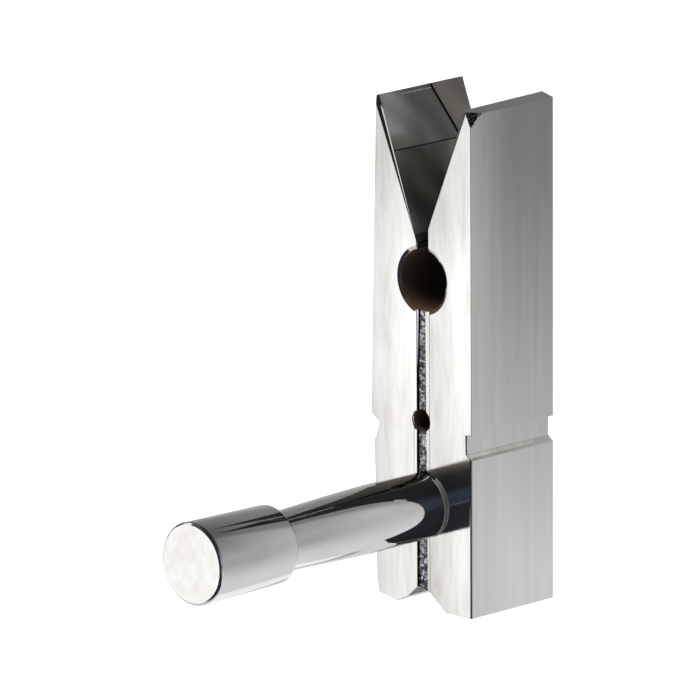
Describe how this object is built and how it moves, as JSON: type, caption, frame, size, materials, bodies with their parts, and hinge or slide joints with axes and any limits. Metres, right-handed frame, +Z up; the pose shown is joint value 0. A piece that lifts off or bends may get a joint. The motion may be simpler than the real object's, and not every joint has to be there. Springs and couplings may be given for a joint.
{
  "type": "coat hook",
  "caption": "Wall coat hook: a chrome casting in the form of a clothes peg, with a round peg and thicker end cap standing out from its jaws.",
  "frame": {"origin": "midway between the two wall screw holes, in the plane of the wall", "axes": "+Z up, -Y forwards along the peg away from the wall, +X to the right as seen from the front"},
  "size_m": [0.0271, 0.0848, 0.1001],
  "materials": {
    "chrome_casting": "polished and chrome plated",
    "chrome_turned": "mirror polished, chrome plated",
    "zinc_plated_steel": "zinc plated"
  },
  "bodies": {
    "root": {"body": "chrome_casting", "peg_rod": "chrome_turned", "end_cap": "chrome_turned", "cap_stud": "zinc_plated_steel", "rod_screw": "zinc_plated_steel", "spring_washer": "zinc_plated_steel", "wall_bracket": "zinc_plated_steel", "grub_screw": "zinc_plated_steel"}
  },
  "joints": []
}
